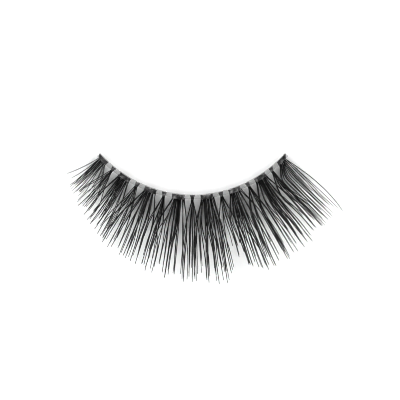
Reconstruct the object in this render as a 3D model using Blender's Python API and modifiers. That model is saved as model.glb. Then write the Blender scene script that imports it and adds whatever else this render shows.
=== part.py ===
"""False eyelash strip, as it lies on a table: a clear band bent into an arc, with wide and narrow tufts
of lashes glued on top of it by turns. Each tuft is a flat head of bound hair roots, with curled locks
of hair fused to it.

Frame: metres, +Z up. The origin is the middle of the band's underside. The band's arc is concave to
+Y, where the eyelid's edge goes. The lashes point away from it, to -Y, and curl up to +Z. They are
short at the inner corner of the eye, at -X, and long at the outer corner, at +X.
"""

import math

import bmesh
import bpy
from mathutils import Vector

MM = 0.001

# The band: a clear strip that lies flat and carries every tuft
BAND_LENGTH = 32.0 * MM  # along its centreline
BAND_WIDTH = 0.70 * MM
BAND_THICKNESS = 0.20 * MM
BAND_EDGE = 0.04 * MM  # bevel
BAND_SEGMENTS = 56
ARC_RADIUS = 18.95 * MM  # of the band's centreline

# The heads: flat blocks of glued hair roots on the band's top, flush with its outer edge
WIDE_TUFTS = 8  # with a narrow one between each two
WIDE_HEAD = 1.90 * MM  # along the band
NARROW_HEAD = 0.75 * MM
HEAD_THICKNESS = 0.38 * MM
HEAD_INSET = 0.10 * MM  # of the band left bare at its inner edge
HEAD_EDGE = 0.07 * MM  # bevel
GLUE_GAP = 0.05 * MM  # between the band's top and a head

# The locks: round tapered tubes that touch the surface at their belly and curl up to their tip
LOCK_THICKNESS = 0.34 * MM  # at the belly
LOCK_GAP = 0.03 * MM  # between neighbours where they leave their head
LOCK_SIDES = 6
LOCK_STEPS = 7
LONGEST_REACH = 12.6 * MM  # from the head to the tip, seen from above
TIP_RISE = 4.6 * MM  # from the belly up to the tip, on a lock of the longest reach
BELLY_PLACE = 0.28  # share of the reach
TIP_SHARE = 0.22  # of the thickness at the belly
CURL_POWER = 2.0
TAPER_POWER = 1.5
FLARE_POWER = 2.0  # how soon a lock turns from its root's direction to its tip's
WELD_DISTANCE = 0.001 * MM  # between points that are one point

# The two kinds of tuft. neck is the share of the head's width that is left where the locks come out.
# fan is half the spread of the tips, as a share of the angle from one wide tuft to the next. trims
# has a lock in each place: the share of its reach that it lacks.
WIDE = {
    "name": "tuft_wide",
    "head": WIDE_HEAD,
    "neck": 0.94,
    "fan": 0.285,
    "trims": (0.10, 0.0, 0.16, 0.04, 0.12, 0.02),
}
NARROW = {
    "name": "tuft_narrow",
    "head": NARROW_HEAD,
    "neck": 0.68,
    "fan": 0.125,
    "trims": (0.09, 0.0, 0.14),
}

# How the lashes change along the band. place runs from -1 at the inner end to 1 at the outer end,
# reach is a share of the longest reach, and lean, in degrees, turns the tips towards +X.
STATIONS = (
    {"place": -1.00, "reach": 0.48, "lean": -0.3},
    {"place": -0.67, "reach": 0.69, "lean": 0.0},
    {"place": -0.40, "reach": 0.86, "lean": 0.0},
    {"place": 0.00, "reach": 0.97, "lean": 0.0},
    {"place": 0.35, "reach": 1.00, "lean": 0.1},
    {"place": 0.56, "reach": 0.99, "lean": 0.0},
    {"place": 0.80, "reach": 0.90, "lean": -0.5},
    {"place": 1.00, "reach": 0.79, "lean": -1.1},
)

HAIR_BLACK = (0.012, 0.012, 0.013, 1.0)
BAND_CLEAR = (0.80, 0.80, 0.78, 1.0)

BAND_ANGLE = BAND_LENGTH / ARC_RADIUS
TUFT_COUNT = 2 * WIDE_TUFTS - 1
TUFT_PITCH = (BAND_ANGLE - WIDE_HEAD / ARC_RADIUS) / (TUFT_COUNT - 1)
OUTER_RADIUS = ARC_RADIUS + BAND_WIDTH / 2
HEAD_DEPTH = BAND_WIDTH - HEAD_INSET
HEAD_RADIUS = OUTER_RADIUS - HEAD_DEPTH / 2
HEAD_HEIGHT = BAND_THICKNESS + GLUE_GAP + HEAD_THICKNESS / 2
BELLY_HEIGHT = LOCK_THICKNESS / 2 * math.cos(math.pi / LOCK_SIDES)


def clear_scene():
    for obj in list(bpy.data.objects):
        bpy.data.objects.remove(obj)


def new_collection(name):
    collection = bpy.data.collections.new(name)
    bpy.context.scene.collection.children.link(collection)
    return collection


def new_material(name, colour, roughness, alpha=1.0):
    material = bpy.data.materials.new(name)
    material.use_nodes = True
    shader = material.node_tree.nodes["Principled BSDF"]
    shader.inputs["Base Color"].default_value = colour
    shader.inputs["Roughness"].default_value = roughness
    shader.inputs["Metallic"].default_value = 0.0
    shader.inputs["Alpha"].default_value = alpha
    return material


def mesh_object(name, bm, collection):
    mesh = bpy.data.meshes.new(name)
    bm.to_mesh(mesh)
    bm.free()
    obj = bpy.data.objects.new(name, mesh)
    collection.objects.link(obj)
    return obj


def about_centre(angle, radius, height):
    """A point about the arc's centre. The angle is from -Y, positive towards +X."""
    return Vector((radius * math.sin(angle), -radius * math.cos(angle), height))


def station_value(column, angle):
    """A column of STATIONS at an angle of the arc, along straight lines between its rows."""
    place = max(-1.0, min(1.0, 2 * angle / BAND_ANGLE))
    for before, after in zip(STATIONS, STATIONS[1:]):
        if place <= after["place"]:
            break
    share = (place - before["place"]) / (after["place"] - before["place"])
    return before[column] + (after[column] - before[column]) * share


def make_band(collection):
    """A flat grid, bent round the arc's centre and thickened upwards from the surface."""
    bm = bmesh.new()
    bmesh.ops.create_grid(bm, x_segments=BAND_SEGMENTS, y_segments=1, size=0.5)
    for vertex in bm.verts:
        vertex.co = about_centre(vertex.co.x * BAND_ANGLE, ARC_RADIUS - vertex.co.y * BAND_WIDTH, 0)
    band = mesh_object("band", bm, collection)
    thickness = band.modifiers.new("thickness", "SOLIDIFY")
    thickness.thickness = BAND_THICKNESS
    thickness.offset = 1
    edges = band.modifiers.new("edges", "BEVEL")
    edges.width = BAND_EDGE
    edges.segments = 1
    edges.limit_method = "ANGLE"
    edges.angle_limit = math.radians(60)
    return band


def lock_height(share, reach):
    """The height of a lock's middle: down from its head to its belly, then up in a curl."""
    if share < BELLY_PLACE:
        return BELLY_HEIGHT + (HEAD_HEIGHT - BELLY_HEIGHT) * (1 - share / BELLY_PLACE) ** 2
    curl = ((share - BELLY_PLACE) / (1 - BELLY_PLACE)) ** CURL_POWER
    return BELLY_HEIGHT + TIP_RISE * reach / LONGEST_REACH * curl


def lock_radius(share, root_radius):
    """Half a lock's thickness: it swells from its root to its belly and tapers to its tip."""
    belly_radius = LOCK_THICKNESS / 2
    if share < BELLY_PLACE:
        return root_radius + (belly_radius - root_radius) * share / BELLY_PLACE
    taper = ((share - BELLY_PLACE) / (1 - BELLY_PLACE)) ** TAPER_POWER
    return belly_radius * (1 - (1 - TIP_SHARE) * taper)


def lock_path(tuft_angle, root_angle, tip_angle, trim, root_radius):
    """Points and radii along one lock, with its tuft turned to -Y. It starts inside the head."""
    tip_angle += math.radians(station_value("lean", tuft_angle))
    reach = LONGEST_REACH * station_value("reach", tuft_angle + tip_angle) * (1 - trim)
    path = [(about_centre(root_angle, HEAD_RADIUS, HEAD_HEIGHT), root_radius)]
    for step in range(LOCK_STEPS + 1):
        share = step / LOCK_STEPS
        angle = root_angle + (tip_angle - root_angle) * (1 - (1 - share) ** FLARE_POWER)
        point = about_centre(angle, OUTER_RADIUS + reach * share, lock_height(share, reach))
        path.append((point, lock_radius(share, root_radius)))
    return path


def tuft_paths(kind, tuft_angle):
    """The paths of a tuft's locks, side by side at the head and fanned out at the tips."""
    spacing = kind["head"] * kind["neck"] / len(kind["trims"])
    last = len(kind["trims"]) - 1
    paths = []
    for lock, trim in enumerate(kind["trims"]):
        across = 2 * lock / last - 1
        root_angle = across * spacing * last / 2 / OUTER_RADIUS
        tip_angle = across * kind["fan"] * 2 * TUFT_PITCH
        paths.append(lock_path(tuft_angle, root_angle, tip_angle, trim, (spacing - LOCK_GAP) / 2))
    return paths


def make_locks(name, paths, collection):
    """The locks of a tuft as one mesh of round tubes with closed ends."""
    curve = bpy.data.curves.new(name, "CURVE")
    curve.dimensions = "3D"
    curve.bevel_depth = 1.0
    curve.bevel_resolution = LOCK_SIDES // 2 - 2
    curve.use_fill_caps = True
    for path in paths:
        spline = curve.splines.new("POLY")
        spline.points.add(len(path) - 1)
        for point, (position, radius) in zip(spline.points, path):
            point.co = (*position, 1)
            point.radius = radius
    guide = bpy.data.objects.new(name, curve)
    collection.objects.link(guide)
    evaluated = guide.evaluated_get(bpy.context.evaluated_depsgraph_get())
    mesh = bpy.data.meshes.new_from_object(evaluated)
    bpy.data.objects.remove(guide)
    bm = bmesh.new()
    bm.from_mesh(mesh)
    bpy.data.meshes.remove(mesh)
    bmesh.ops.remove_doubles(bm, verts=bm.verts, dist=WELD_DISTANCE)
    bmesh.ops.recalc_face_normals(bm, faces=bm.faces)
    locks = mesh_object(name, bm, collection)
    locks.hide_render = True
    locks.display_type = "WIRE"
    return locks


def make_head(name, kind, collection):
    """A flat block on the band's top, narrower where the locks come out."""
    bm = bmesh.new()
    bmesh.ops.create_cube(bm, size=1)
    for vertex in bm.verts:
        taper = kind["neck"] if vertex.co.y < 0 else 1
        vertex.co.x *= kind["head"] * taper
        vertex.co.y = vertex.co.y * HEAD_DEPTH - HEAD_RADIUS
        vertex.co.z = vertex.co.z * HEAD_THICKNESS + HEAD_HEIGHT
    head = mesh_object(name, bm, collection)
    edges = head.modifiers.new("edges", "BEVEL")
    edges.width = HEAD_EDGE
    edges.segments = 2
    return head


def make_tuft(name, kind, tuft_angle, collection, helpers):
    """A head with its locks fused to it, modelled towards -Y and turned to its place."""
    tuft = make_head(name, kind, collection)
    locks = make_locks(name + "_locks", tuft_paths(kind, tuft_angle), helpers)
    fuse = tuft.modifiers.new("locks", "BOOLEAN")
    fuse.operation = "UNION"
    fuse.solver = "EXACT"
    fuse.object = locks
    for obj in (tuft, locks):
        obj.rotation_euler.z = tuft_angle
    return tuft, locks


def make_strip():
    clear_scene()
    parts = new_collection("false_eyelash_strip")
    helpers = new_collection("helpers")
    hair = new_material("lash_hair", HAIR_BLACK, 0.45)
    clear = new_material("band_clear", BAND_CLEAR, 0.25, alpha=0.5)

    arc_centre = bpy.data.objects.new("arc_centre", None)
    arc_centre.location.y = ARC_RADIUS
    parts.objects.link(arc_centre)

    band = make_band(parts)
    band.data.materials.append(clear)
    band.parent = arc_centre
    for index in range(TUFT_COUNT):
        kind = NARROW if index % 2 else WIDE
        name = f"{kind['name']}_{index // 2 + 1}"
        tuft_angle = (index - (TUFT_COUNT - 1) / 2) * TUFT_PITCH
        tuft, locks = make_tuft(name, kind, tuft_angle, parts, helpers)
        tuft.data.materials.append(hair)
        tuft.parent = arc_centre
        locks.parent = arc_centre


make_strip()
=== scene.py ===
"""The looks of the false eyelash strip: bare hairs in place of the plain locks of each tuft, glued
heads with the ridges of the hair roots in them, and a clear glossy band.

Lengths are in metres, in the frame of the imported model: the band's underside lies on z = 0, the
hollow of its arc faces +Y, the lashes point to -Y, and the outer corner of the eye is at +X. An
angle is about the arc's centre, from -Y, positive towards +X.
"""

import math

import bpy
import numpy as np
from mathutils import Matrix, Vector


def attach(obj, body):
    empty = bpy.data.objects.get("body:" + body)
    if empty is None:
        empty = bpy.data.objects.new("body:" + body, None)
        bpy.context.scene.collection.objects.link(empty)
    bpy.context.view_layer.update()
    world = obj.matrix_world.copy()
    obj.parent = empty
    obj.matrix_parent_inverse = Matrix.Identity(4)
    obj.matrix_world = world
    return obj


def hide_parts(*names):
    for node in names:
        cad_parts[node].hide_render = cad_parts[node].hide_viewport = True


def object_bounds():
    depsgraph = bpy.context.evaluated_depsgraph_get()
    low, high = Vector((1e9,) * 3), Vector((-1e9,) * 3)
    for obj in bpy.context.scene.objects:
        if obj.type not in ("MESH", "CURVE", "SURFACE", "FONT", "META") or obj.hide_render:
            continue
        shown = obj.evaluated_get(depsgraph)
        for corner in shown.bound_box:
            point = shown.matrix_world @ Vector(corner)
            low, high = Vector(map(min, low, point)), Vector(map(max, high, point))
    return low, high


MM = 0.001
SEED = 11

# The photograph's view: straight down, with this much of the floor across the picture
VIEW_WIDTH = 60.4 * MM
VIEW_CENTRE = (1.13 * MM, -0.5 * MM)
LENS = 150.0  # mm, as the sensor's width is
SENSOR = 36.0
NEAREST_SEEN = 1 * MM
FARTHEST_SEEN = 10.0

# The light comes from all round, low down, and hardly from overhead. The picture is exposed so that
# the floor is white, and its dark tones are deepened, as a product photograph's are.
DOME_OVERHEAD = 0.15
DOME_HORIZON = 13.3
DOME_FALL = 3.0  # how soon the light falls off above the horizon
PICTURE_GAMMA = 0.66
PIXEL_FILTER = 1.0  # pixels that a point of the picture is spread over, which keeps fine hairs crisp

# A hair is a round tube that tapers a little to a blunt tip
HAIR_THICKNESS = 0.116 * MM
HAIR_SIDES = 6
HAIR_RINGS = 24
RING_POWER = 1.1  # over 1, rings lie closer together near the head
RING_SHARES = np.linspace(0, 1, HAIR_RINGS) ** RING_POWER  # where the rings are, as shares of the reach
TAPER_FROM = 0.72  # share of a hair's length that keeps its full thickness
TAPER_POWER = 1.6
TIP_SHARE = 0.60  # of the thickness
DARKEST_STRAND = 0.3  # tone, where 1 is the lightest
ROOT_SHADE_SHARE = 0.12  # of the reach over which the hairs darken towards the head, as painted shade

# A tuft's hairs come out of its head in columns, each of a few hairs on top of each other. Those in
# the middle go straight out, and those at the edges fan out beyond the head. Towards their tips the
# hairs of all tufts lean together into spikes, and some cross the others singly.
COLUMN_JITTER = 0.18  # of the space between columns
ROOT_JITTER = 0.075  # of half the head's width, for a hair about its column where it leaves the head
MIDDLE_JITTER = math.radians(0.06)  # the same, once the hair is clear of the head
SPIKE_SPACING = math.radians(1.15)
SPIKE_JITTER = 0.32  # of the space between spikes
SPIKE_DRIFT = math.radians(0.50)  # how far across a hair may stray to join a spike
SPIKE_BLUNT = math.radians(0.13)  # spread of the tips of a spike
SINGLES = 0.25  # share of the hairs that cross singly
SINGLE_DRIFT = math.radians(1.6)

# From above, a hair leaves its head sideways and has turned to its own direction after this reach
FLARE_REACH = 4.5 * MM
FLARE_POWER = 1.5
SWEEP_FROM = 0.20  # from this share of the reach to the next, a hair leans to its spike
SWEEP_TO = 0.85
BOW = math.radians(0.20)  # to either side, half way out

# Lengths: most hairs reach nearly as far as the envelope, and some are short
SHORT_HAIRS = 0.14  # share of the hairs
SHORT_LENGTHS = (0.55, 0.80)
LONG_LENGTHS = (0.80, 1.02)

# From the side, a hair drops to its belly on the floor and curls up to its tip
BELLY_PLACE = 0.28  # share of the reach
DROP_POWER = 2
CURL_POWER = 2.0
BUNDLE_HEIGHT = 0.36 * MM  # of the hairs that lie on each other at the belly
RISES = (0.88, 1.0)  # shares of the height that a tip of its reach may have
ROOT_INSET = 0.25 * MM  # how far a hair goes into its head
ROOT_ROOM = 2.4  # how many half thicknesses of a hair the roots keep free of the head's height

# How far the lashes reach at an angle of the arc, in degrees, as a share of the longest lock's reach
ENVELOPE = (
    {"angle": -52, "share": 0.44},
    {"angle": -48, "share": 0.45},
    {"angle": -44, "share": 0.53},
    {"angle": -38, "share": 0.60},
    {"angle": -34, "share": 0.65},
    {"angle": -30, "share": 0.72},
    {"angle": -24, "share": 0.81},
    {"angle": -18, "share": 0.86},
    {"angle": -12, "share": 0.92},
    {"angle": -4, "share": 0.95},
    {"angle": 4, "share": 0.98},
    {"angle": 10, "share": 1.02},
    {"angle": 12.6, "share": 0.94},
    {"angle": 13.6, "share": 0.74},
    {"angle": 15.6, "share": 0.74},
    {"angle": 16.8, "share": 0.97},
    {"angle": 26, "share": 0.99},
    {"angle": 30, "share": 0.93},
    {"angle": 36, "share": 0.93},
    {"angle": 40, "share": 0.89},
    {"angle": 44, "share": 0.86},
    {"angle": 48, "share": 0.86},
)

# How each tuft is set, from the inner corner to the outer. Its hairs come out of the head between
# first and last, -1 being the head's left edge and 1 its right. left and right say how far its
# outermost hairs have turned outwards once clear of the head, shift how far all its hairs have turned
# to +X there, and sweep how far they turn on from there to their tips, all in degrees. fan is a power:
# the higher it is, the fewer hairs turn outwards. flare is a share of FLARE_REACH, and stem the
# reaches between which the turn begins, in mm. fine is a share of the hairs' thickness, variety the
# share by which some are thicker and some thinner, gather the width of the fan at its tips as a share
# of the width once clear, and wander how far its hairs bow, lean to their spikes and cross each other.
PLAIN = {"shift": 0.0, "sweep": 0.0, "flare": 1.0, "fine": 1.0, "variety": 0.15, "gather": 1.0,
         "wander": 1.0}
WIDE = PLAIN | {"hairs": 25, "columns": 9, "first": -0.88, "last": 0.88, "fan": 2.2, "stem": (0.0, 0.2)}
NARROW = PLAIN | {"hairs": 10, "columns": 5, "first": -0.40, "last": 0.40, "fan": 1.2, "stem": (0.0, 0.5)}
TUFTS = (
    WIDE | {"node": "tuft_wide_1", "hairs": 22, "columns": 12, "first": -0.50, "last": 0.88, "left": -0.6,
            "right": 5.2, "fan": 2.8, "fine": 0.55, "variety": 0.3, "wander": 0.35, "sweep": 0.3},
    NARROW | {"node": "tuft_narrow_1", "left": 2.6, "right": 2.2, "fine": 0.80},
    WIDE | {"node": "tuft_wide_2", "left": 1.8, "right": 2.4, "fine": 0.9, "sweep": 0.2},
    NARROW | {"node": "tuft_narrow_2", "left": 2.7, "right": 2.2, "fine": 0.95},
    WIDE | {"node": "tuft_wide_3", "left": 3.9, "right": 2.8},
    NARROW | {"node": "tuft_narrow_3", "left": 2.2, "right": 1.6},
    WIDE | {"node": "tuft_wide_4", "left": 3.9, "right": 1.8},
    NARROW | {"node": "tuft_narrow_4", "left": 2.2, "right": 1.9},
    WIDE | {"node": "tuft_wide_5", "left": 3.0, "right": 1.6, "hairs": 31},
    NARROW | {"node": "tuft_narrow_5", "left": 3.0, "right": 2.5},
    WIDE | {"node": "tuft_wide_6", "hairs": 29, "columns": 10, "left": 3.2, "right": 3.8, "fan": 1.8,
            "sweep": 0.2},
    NARROW | {"node": "tuft_narrow_6", "hairs": 12, "left": 3.2, "right": 1.8},
    WIDE | {"node": "tuft_wide_7", "hairs": 32, "left": 2.8, "right": 2.9, "shift": -0.5, "sweep": 1.2},
    NARROW | {"node": "tuft_narrow_7", "first": -0.90, "last": -0.25, "left": 2.4, "right": 1.0,
              "shift": -0.8, "sweep": 2.0, "fine": 0.9},
    WIDE | {"node": "tuft_wide_8", "hairs": 33, "columns": 12, "first": -0.95, "last": 0.40, "left": 2.1,
            "right": 2.1, "fan": 1.0, "flare": 0.5, "fine": 0.60, "variety": 0.3, "shift": -2.1,
            "sweep": 0.1, "gather": 0.76, "wander": 0.15},
)

# Single hairs that leave their tuft: where they come out of the head, -1 to 1, their angle half way
# out and at the tip, in degrees, their reach as a share of the longest, and their thickness as a
# share of the hairs'.
STRAYS = (
    {"node": "tuft_wide_1", "root": -0.56, "middle": -49.6, "tip": -51.4, "reach": 0.41, "fine": 0.75},
    {"node": "tuft_wide_1", "root": -0.44, "middle": -48.2, "tip": -49.1, "reach": 0.40, "fine": 0.65},
    {"node": "tuft_wide_1", "root": -0.24, "middle": -47.1, "tip": -47.6, "reach": 0.47, "fine": 0.75},
    {"node": "tuft_wide_1", "root": 0.60, "middle": -42.2, "tip": -41.2, "reach": 0.38, "fine": 0.95},
    {"node": "tuft_wide_1", "root": 0.84, "middle": -39.6, "tip": -36.9, "reach": 0.43, "fine": 0.95},
    {"node": "tuft_wide_8", "root": 0.36, "middle": 49.0, "tip": 47.3, "reach": 0.91, "fine": 0.80},
    {"node": "tuft_wide_8", "root": 0.38, "middle": 47.6, "tip": 47.0, "reach": 0.85, "fine": 0.65},
)

# A head is a rounded block. Its ends are lower and narrower than its middle, and its side towards the
# hairs is only as long as their roots
HEAD_SECTIONS = 61
HEAD_SIDES = 20
HEAD_EDGE_POWER = 0.45  # the lower it is, the squarer the section
HEAD_END_POWERS = (8, 0.25)  # the higher the first and the lower the second, the squarer the ends
HEAD_END_HEIGHT = 0.55  # share of the middle's
HEAD_END_DEPTH = 0.9  # share of the middle's, where the end's height comes to nothing
HEAD_SHOULDER = 1.3  # the higher it is, the nearer to the hairs the block narrows
HEAD_BEYOND_ROOTS = 0.06  # of half the head's width
RIDGE_DEPTH = 0.05  # share of the head's height
RIDGE_VARIETY = 0.012  # the same, at random

# The back of a head is the corners of its solid that are as near as this to the innermost one, and
# the corners that are this far within the band's outer edge are the head's own, not the locks'
HEAD_BACK = 0.15 * MM
HEAD_FRONT = 0.05 * MM

# Looks: grain is how many grains of its noise go on a metre, and bump how deep they are
HAIR_LOOK = {"roughness": 0.42, "specular": 0.12, "dark": (0.018, 0.018, 0.019),
             "light": (0.084, 0.083, 0.083), "grain": 30000, "bump": 0.004 * MM, "strength": 0.3}
HEAD_LOOK = {"roughness": 0.38, "specular": 0.35, "dark": (0.0, 0.0, 0.0), "light": (0.83, 0.83, 0.83),
             "grain": 2000, "bump": 0.02 * MM, "strength": 0.5}
# The band's grey is deeper than the clear plastic's own: painted shade over the gaps between the heads
BAND_LOOK = {"roughness": 0.16, "specular": 0.3, "dark": (0.30, 0.30, 0.30),
             "light": (0.38, 0.38, 0.375), "grain": 1500, "bump": 0.02 * MM, "strength": 0.4}
FLOOR_LOOK = {"roughness": 0.8, "specular": 0.0, "dark": (0.89, 0.89, 0.89),
              "light": (0.90, 0.90, 0.90), "grain": 800}
BLOTCH_POWER = 3.0  # the higher it is, the fewer and smaller the pale blotches of the dried glue
BLOTCH_DETAIL = 5.0
BAND_ALPHA = 0.13
FLOOR_HALF = 0.5
FLOOR_DROP = 0.01 * MM


def arc_of_band():
    """The arc's centre and the band's outer radius, from the band's own mesh."""
    corners = np.array([v.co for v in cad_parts["band"].data.vertices])
    sums = np.column_stack([2 * corners[:, :2], np.ones(len(corners))])
    solved = np.linalg.lstsq(sums, (corners[:, :2] ** 2).sum(1), rcond=None)[0]
    centre = solved[:2]
    return centre, np.hypot(*(corners[:, :2] - centre).T).max()


def head_of_tuft(node):
    """Where a tuft's head is: its middle angle, half angle, inner and outer radius, floor and top."""
    corners = np.array([v.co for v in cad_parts[node].data.vertices])
    offsets = corners[:, :2] - ARC_CENTRE
    radii = np.hypot(*offsets.T)
    angles = np.arctan2(offsets[:, 0], -offsets[:, 1])
    back = radii < radii.min() + HEAD_BACK
    inside = radii < OUTER_RADIUS - HEAD_FRONT
    return {
        "angle": (angles[back].min() + angles[back].max()) / 2,
        "half": (angles[back].max() - angles[back].min()) / 2,
        "inner": radii.min(),
        "outer": OUTER_RADIUS,
        "low": corners[inside, 2].min(),
        "high": corners[inside, 2].max(),
    }


def longest_reach():
    """How far the longest lock goes out from the band."""
    reaches = []
    for row in TUFTS:
        corners = np.array([v.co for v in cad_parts[row["node"]].data.vertices])
        reaches.append(np.hypot(*(corners[:, :2] - ARC_CENTRE).T).max() - OUTER_RADIUS)
    return max(reaches)


def envelope(angle):
    """The reach of the lashes at an angle, along straight lines between the rows of ENVELOPE."""
    table = [(math.radians(row["angle"]), row["share"]) for row in ENVELOPE]
    return LONGEST_REACH * np.interp(angle, *zip(*table))


def about_centre(angle, radius, height):
    """Points about the arc's centre."""
    x = ARC_CENTRE[0] + radius * np.sin(angle)
    y = ARC_CENTRE[1] - radius * np.cos(angle)
    return np.stack([x, y, height], axis=-1)


def mesh_piece(name, points, faces, values, material):
    """A smooth-shaded object, with a number for each point under each name in values."""
    mesh = bpy.data.meshes.new(name)
    mesh.from_pydata(points, [], faces)
    for key, column in values.items():
        mesh.attributes.new(key, "FLOAT", "POINT").data.foreach_set("value", column)
    mesh.materials.append(material)
    mesh.shade_smooth()
    piece = bpy.data.objects.new(name, mesh)
    bpy.context.scene.collection.objects.link(piece)
    return piece


def tube_mesh(paths, radii):
    """Points and faces of closed round tubes, one for each row of paths."""
    count, rings = radii.shape
    along = np.gradient(paths, axis=1)
    along /= np.linalg.norm(along, axis=2, keepdims=True)
    side = np.cross(along, [0.0, 0.0, 1.0])
    side /= np.linalg.norm(side, axis=2, keepdims=True)
    up = np.cross(side, along)
    turn = np.arange(HAIR_SIDES) * 2 * math.pi / HAIR_SIDES
    around = side[:, :, None] * np.cos(turn)[:, None] + up[:, :, None] * np.sin(turn)[:, None]
    points = paths[:, :, None] + around * radii[:, :, None, None]
    number = np.arange(count * rings * HAIR_SIDES).reshape(count, rings, HAIR_SIDES)
    following = np.roll(number, -1, axis=2)
    sides = np.stack([number[:, :-1], following[:, :-1], following[:, 1:], number[:, 1:]], axis=-1)
    faces = sides.reshape(-1, 4).tolist()
    faces += number[:, 0, ::-1].tolist()
    faces += number[:, -1].tolist()
    return points.reshape(-1, 3), faces


def spike_angles():
    """The angles of the spikes that the tips of all tufts lean into."""
    rng = np.random.default_rng(SEED)
    reach = math.radians(ENVELOPE[-1]["angle"])
    angles = np.arange(-reach - SPIKE_SPACING * 3, reach, SPIKE_SPACING)
    return angles + rng.normal(0, SPIKE_JITTER * SPIKE_SPACING, len(angles))


def root_angle(head, place):
    """The angle of a place on a head, from -1 at its left edge to 1 at its right."""
    return head["angle"] + head["half"] * place


def hair_places(rng, tuft):
    """Where each hair of a tuft is across its fan, from -1 to 1, in columns of a few hairs each."""
    columns = tuft["columns"]
    column = np.linspace(-1, 1, columns) + rng.normal(0, COLUMN_JITTER, columns) * 2 / columns
    return column[rng.permutation(np.arange(tuft["hairs"]) % columns)]


def tip_angles(rng, tuft, gathered):
    """The angles of the tips: most lean from where the fan would take them to a spike, and some cross."""
    hairs = tuft["hairs"]
    drifted = gathered + rng.normal(0, SPIKE_DRIFT, hairs)
    spike = SPIKES[np.abs(drifted[:, None] - SPIKES).argmin(1)]
    leaning = gathered + (spike - gathered) * tuft["wander"] + rng.normal(0, SPIKE_BLUNT, hairs)
    single = rng.random(hairs) < SINGLES
    crossing = gathered + rng.normal(0, SINGLE_DRIFT * tuft["wander"], hairs)
    return np.where(single, crossing, leaning)


def fan_angles(rng, tuft, head):
    """The angles of each hair of a tuft: at its root, once clear of the head, and at its tip."""
    place = hair_places(rng, tuft)
    root = root_angle(head, np.interp(place, (-1, 1), (tuft["first"], tuft["last"])))
    spread = rng.normal(0, ROOT_JITTER * head["half"], tuft["hairs"])
    outwards = np.radians(np.where(place < 0, tuft["left"], tuft["right"]))
    middle = root + np.sign(place) * np.abs(place) ** tuft["fan"] * outwards + math.radians(tuft["shift"])
    middle += rng.normal(0, MIDDLE_JITTER, tuft["hairs"])
    gathered = middle.mean() + (middle - middle.mean()) * tuft["gather"] + math.radians(tuft["sweep"])
    return root + spread, middle, tip_angles(rng, tuft, gathered)


def fan_courses(rng, tuft, head):
    """The angle of each hair of a tuft at each of its rings, and its reach."""
    root, middle, tip = fan_angles(rng, tuft, head)
    hairs = tuft["hairs"]
    short = rng.random(hairs) < SHORT_HAIRS
    length = np.where(short, rng.uniform(*SHORT_LENGTHS, hairs), rng.uniform(*LONG_LENGTHS, hairs))
    reach = envelope(tip) * length
    stem = rng.uniform(*tuft["stem"], (hairs, 1)) * MM
    flare = np.clip((reach[:, None] * RING_SHARES - stem) / (FLARE_REACH * tuft["flare"]), 0, 1)
    eased = 1 - (1 - flare) ** FLARE_POWER
    later = np.clip((RING_SHARES - SWEEP_FROM) / (SWEEP_TO - SWEEP_FROM), 0, 1)
    later = later * later * (3 - 2 * later)
    angle = root[:, None] + (middle - root)[:, None] * eased + (tip - middle)[:, None] * later
    angle += rng.normal(0, BOW * tuft["wander"], hairs)[:, None] * np.sin(math.pi * RING_SHARES)
    return angle, reach


def stray_courses(strays, head):
    """The same for the strays of a tuft, each a parabola through its three angles."""
    root = np.array([root_angle(head, row["root"]) for row in strays]).reshape(-1, 1)
    middle = np.radians([row["middle"] for row in strays]).reshape(-1, 1)
    tip = np.radians([row["tip"] for row in strays]).reshape(-1, 1)
    to_tip = RING_SHARES
    to_root = 1 - RING_SHARES
    angle = root * to_root * (to_root - to_tip) + middle * 4 * to_tip * to_root
    angle = angle + tip * to_tip * (to_tip - to_root)
    return angle, np.array([LONGEST_REACH * row["reach"] for row in strays])


def hair_radii(rng, tuft, strays):
    """The radius of each hair of a tuft and its strays where it is thickest, and at each of its rings."""
    fine = np.array([tuft["fine"]] * tuft["hairs"] + [row["fine"] for row in strays])
    fine = fine * rng.uniform(1 - tuft["variety"], 1 + tuft["variety"], len(fine))
    radius = HAIR_THICKNESS / 2 * fine[:, None]
    taper = np.clip((RING_SHARES - TAPER_FROM) / (1 - TAPER_FROM), 0, 1) ** TAPER_POWER
    return radius, radius * (1 - (1 - TIP_SHARE) * taper)


def hair_heights(rng, head, reach, radius):
    """The height of each hair at each of its rings, from its root past its belly to its tip."""
    layer = rng.random(len(reach))[:, None]
    root_height = head["low"] + radius + layer * (head["high"] - head["low"] - ROOT_ROOM * radius)
    belly_height = radius + layer * BUNDLE_HEIGHT
    drop = np.clip(1 - RING_SHARES / BELLY_PLACE, 0, 1) ** DROP_POWER
    curl = np.clip((RING_SHARES - BELLY_PLACE) / (1 - BELLY_PLACE), 0, None) ** CURL_POWER
    rise = TIP_RISE * (reach / LONGEST_REACH)[:, None] * rng.uniform(*RISES, len(reach))[:, None]
    return belly_height + (root_height - belly_height) * drop + rise * curl


def hair_paths(rng, tuft, head):
    """The middle lines of a tuft's hairs, with their radii."""
    strays = [row for row in STRAYS if row["node"] == tuft["node"]]
    courses = zip(fan_courses(rng, tuft, head), stray_courses(strays, head))
    angle, reach = (np.concatenate(pair) for pair in courses)
    radius, radii = hair_radii(rng, tuft, strays)
    height = hair_heights(rng, head, reach, radius)

    # Each hair starts inside the head, so its first ring is drawn back into it
    start = np.full((len(reach), 1), head["outer"] - ROOT_INSET)
    first = about_centre(angle[:, :1], start, height[:, :1])
    rest = about_centre(angle, head["outer"] + reach[:, None] * RING_SHARES, height)
    return np.concatenate([first, rest], axis=1), np.concatenate([radii[:, :1], radii], axis=1)


def hair_tones(rng, hairs):
    """How light each ring of each hair is, from 0 to 1: hairs differ, and painted shade darkens them
    towards the head.
    """
    strand = rng.uniform(DARKEST_STRAND, 1, (hairs, 1))
    # Painted shade: the rings nearest the head are darkened, down to the darkest colour at the root
    tones = strand * np.clip(RING_SHARES / ROOT_SHADE_SHARE, 0, 1)
    return np.concatenate([tones[:, :1], tones], axis=1)


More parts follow.
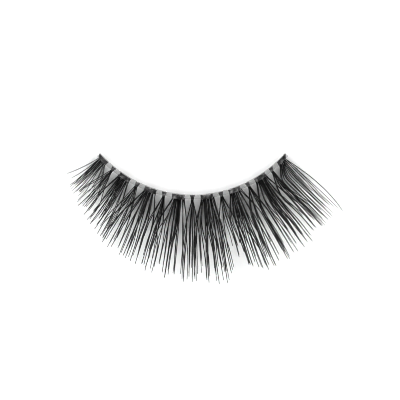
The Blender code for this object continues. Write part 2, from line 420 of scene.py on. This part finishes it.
def squared(wave):
    """A sine or cosine with flatter crests, for the section of a rounded block."""
    return np.sign(wave) * np.abs(wave) ** HEAD_EDGE_POWER


def head_thickness(rng, columns, across):
    """How thick a head is at its sections, as shares: without its ridges, and with them."""
    plain = (1 - np.abs(across) ** HEAD_END_POWERS[0]) ** HEAD_END_POWERS[1]
    plain[[0, -1]] = HEAD_END_HEIGHT
    ridges = RIDGE_DEPTH * np.cos(across * math.pi * columns)
    ridges += rng.normal(0, RIDGE_VARIETY, HEAD_SECTIONS)
    return plain, plain * (1 + ridges)


def head_faces():
    """The faces of a head's mesh: its skin, from section to section, and its two ends."""
    number = np.arange(HEAD_SECTIONS * HEAD_SIDES).reshape(HEAD_SECTIONS, HEAD_SIDES)
    following = np.roll(number, -1, axis=1)
    sides = np.stack([number[:-1], number[1:], following[1:], following[:-1]], axis=-1)
    return sides.reshape(-1, 4).tolist() + [number[0].tolist(), number[-1, ::-1].tolist()]


def head_mesh(rng, tuft, head):
    """Points and faces of a head: a rounded block that narrows towards its hairs, with a ridge for
    each column of roots in it."""
    across = np.linspace(-1, 1, HEAD_SECTIONS)
    plain, ridged = head_thickness(rng, tuft["columns"], across)
    turn = np.arange(HEAD_SIDES) * 2 * math.pi / HEAD_SIDES
    depth = squared(np.cos(turn))
    half_depth = (head["outer"] - head["inner"]) / 2
    half_thick = (head["high"] - head["low"]) / 2
    depth_share = HEAD_END_DEPTH + (1 - HEAD_END_DEPTH) * plain[:, None]
    radius = (head["outer"] + head["inner"]) / 2 + half_depth * depth * depth_share
    height = (head["low"] + head["high"]) / 2 + half_thick * squared(np.sin(turn)) * ridged[:, None]
    outwards = np.clip((depth + 1) / 2, 0, 1) ** HEAD_SHOULDER
    edges = np.where(across < 0, -tuft["first"], tuft["last"]) + HEAD_BEYOND_ROOTS
    place = across[:, None] * (1 + (np.minimum(edges, 1)[:, None] - 1) * outwards)
    return about_centre(root_angle(head, place), radius, height).reshape(-1, 3), head_faces()


def make_tuft(tuft, hair_material, head_material):
    """The hairs and the head of a tuft as two pieces that stand for its node."""
    rng = np.random.default_rng([SEED, TUFTS.index(tuft)])
    head = head_of_tuft(tuft["node"])
    paths, radii = hair_paths(rng, tuft, head)
    points, faces = tube_mesh(paths, radii)
    tones = np.repeat(hair_tones(rng, len(paths)), HAIR_SIDES)
    hairs = mesh_piece(tuft["node"] + "_hairs", points, faces, {"tone": tones}, hair_material)
    points, faces = head_mesh(rng, tuft, head)
    block = mesh_piece(tuft["node"] + "_head", points, faces, {}, head_material)
    for piece in (hairs, block):
        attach(piece, "root")
        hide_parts(tuft["node"])


def shader_of(material):
    return material.node_tree.nodes["Principled BSDF"]


def new_material(name, look):
    material = bpy.data.materials.new(name)
    material.use_nodes = True
    shader = shader_of(material)
    shader.inputs["Roughness"].default_value = look["roughness"]
    shader.inputs["Specular IOR Level"].default_value = look["specular"]
    return material


def colour_by(material, factor, look):
    """Colours a material from its look's dark to its light, by a factor's socket."""
    tree = material.node_tree
    mix = tree.nodes.new("ShaderNodeMix")
    mix.data_type = "RGBA"
    mix.inputs["A"].default_value = (*look["dark"], 1)
    mix.inputs["B"].default_value = (*look["light"], 1)
    tree.links.new(factor, mix.inputs["Factor"])
    tree.links.new(mix.outputs["Result"], shader_of(material).inputs["Base Color"])


def noise(tree, scale, detail=3.0):
    """A noise in the frame's own metres, so its grain is the same size on every piece."""
    place = tree.nodes.new("ShaderNodeTexCoord")
    texture = tree.nodes.new("ShaderNodeTexNoise")
    texture.inputs["Scale"].default_value = scale
    texture.inputs["Detail"].default_value = detail
    tree.links.new(place.outputs["Object"], texture.inputs["Vector"])
    return texture.outputs["Fac"]


def math_node(tree, operation, first, second):
    """A Math node of two inputs, each a socket or a number."""
    node = tree.nodes.new("ShaderNodeMath")
    node.operation = operation
    for socket, value in zip(node.inputs, (first, second)):
        if isinstance(value, (int, float)):
            socket.default_value = value
        else:
            tree.links.new(value, socket)
    return node.outputs["Value"]


def add_bump(material, height, look):
    tree = material.node_tree
    bump = tree.nodes.new("ShaderNodeBump")
    bump.inputs["Distance"].default_value = look["bump"]
    bump.inputs["Strength"].default_value = look["strength"]
    tree.links.new(height, bump.inputs["Height"])
    tree.links.new(bump.outputs["Normal"], shader_of(material).inputs["Normal"])


def hair_finish():
    """Near-black synthetic hair, each strand a little lighter or darker than the next, with painted shade
    towards the head.
    """
    material = new_material("lash_hair", HAIR_LOOK)
    tree = material.node_tree
    tone = tree.nodes.new("ShaderNodeAttribute")
    tone.attribute_name = "tone"
    colour_by(material, tone.outputs["Fac"], HAIR_LOOK)
    add_bump(material, noise(tree, HAIR_LOOK["grain"]), HAIR_LOOK)
    return material


def head_finish():
    """Hair roots soaked in dried glue: dark grey with paler blotches, and a slight gloss."""
    material = new_material("lash_head", HEAD_LOOK)
    tree = material.node_tree
    grain = noise(tree, HEAD_LOOK["grain"], BLOTCH_DETAIL)
    colour_by(material, math_node(tree, "POWER", grain, BLOTCH_POWER), HEAD_LOOK)
    add_bump(material, grain, HEAD_LOOK)
    return material


def band_finish():
    """Clear soft plastic, faintly grey, its grey deepened as painted shade between the heads, with a
    gentle unevenness.
    """
    material = new_material("band_clear", BAND_LOOK)
    cloud = noise(material.node_tree, BAND_LOOK["grain"])
    colour_by(material, cloud, BAND_LOOK)
    add_bump(material, cloud, BAND_LOOK)
    shader_of(material).inputs["Alpha"].default_value = BAND_ALPHA
    return material


def finish_band():
    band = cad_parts["band"]
    band.data.materials.clear()
    band.data.materials.append(band_finish())


def make_camera():
    data = bpy.data.cameras.new("camera")
    data.lens = LENS
    data.sensor_width = SENSOR
    data.clip_start = NEAREST_SEEN
    data.clip_end = FARTHEST_SEEN
    camera = bpy.data.objects.new("camera", data)
    camera.location = (*VIEW_CENTRE, VIEW_WIDTH * LENS / SENSOR)
    bpy.context.scene.collection.objects.link(camera)
    bpy.context.scene.camera = camera


def make_floor():
    """A white table, a hair's breadth under the band."""
    corners = [(x * FLOOR_HALF, y * FLOOR_HALF, 0) for x, y in ((-1, -1), (1, -1), (1, 1), (-1, 1))]
    material = new_material("floor_white", FLOOR_LOOK)
    colour_by(material, noise(material.node_tree, FLOOR_LOOK["grain"]), FLOOR_LOOK)
    floor = mesh_piece("floor", corners, [(0, 1, 2, 3)], {}, material)
    floor.location.z = -FLOOR_DROP


def make_light():
    """A white dome, bright at the horizon, as in a light tent lit through its walls."""
    world = bpy.data.worlds.new("dome")
    world.use_nodes = True
    tree = world.node_tree
    place = tree.nodes.new("ShaderNodeTexCoord")
    parts = tree.nodes.new("ShaderNodeSeparateXYZ")
    tree.links.new(place.outputs["Generated"], parts.inputs["Vector"])
    upward = math_node(tree, "MAXIMUM", parts.outputs["Z"], 0.0)
    fall = math_node(tree, "POWER", math_node(tree, "SUBTRACT", 1.0, upward), DOME_FALL)
    strength = math_node(tree, "ADD", math_node(tree, "MULTIPLY", fall, DOME_HORIZON), DOME_OVERHEAD)
    tree.links.new(strength, tree.nodes["Background"].inputs["Strength"])
    tree.nodes["Background"].inputs["Color"].default_value = (1, 1, 1, 1)
    bpy.context.scene.world = world
    bpy.context.scene.view_settings.view_transform = "Standard"
    bpy.context.scene.view_settings.gamma = PICTURE_GAMMA
    bpy.context.scene.cycles.filter_width = PIXEL_FILTER


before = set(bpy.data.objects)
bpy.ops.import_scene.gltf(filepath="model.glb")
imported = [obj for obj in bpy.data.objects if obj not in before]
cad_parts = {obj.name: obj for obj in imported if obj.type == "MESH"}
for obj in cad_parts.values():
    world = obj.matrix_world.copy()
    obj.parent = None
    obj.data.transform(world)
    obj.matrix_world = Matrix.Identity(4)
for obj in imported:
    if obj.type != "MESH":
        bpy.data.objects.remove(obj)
cad_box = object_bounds()
ARC_CENTRE, OUTER_RADIUS = arc_of_band()
LONGEST_REACH = longest_reach()
TIP_RISE = cad_box[1][2] - BUNDLE_HEIGHT
SPIKES = spike_angles()
make_camera()
make_floor()
make_light()
finish_band()
hair = hair_finish()
glue = head_finish()
for row in TUFTS:
    make_tuft(row, hair, glue)
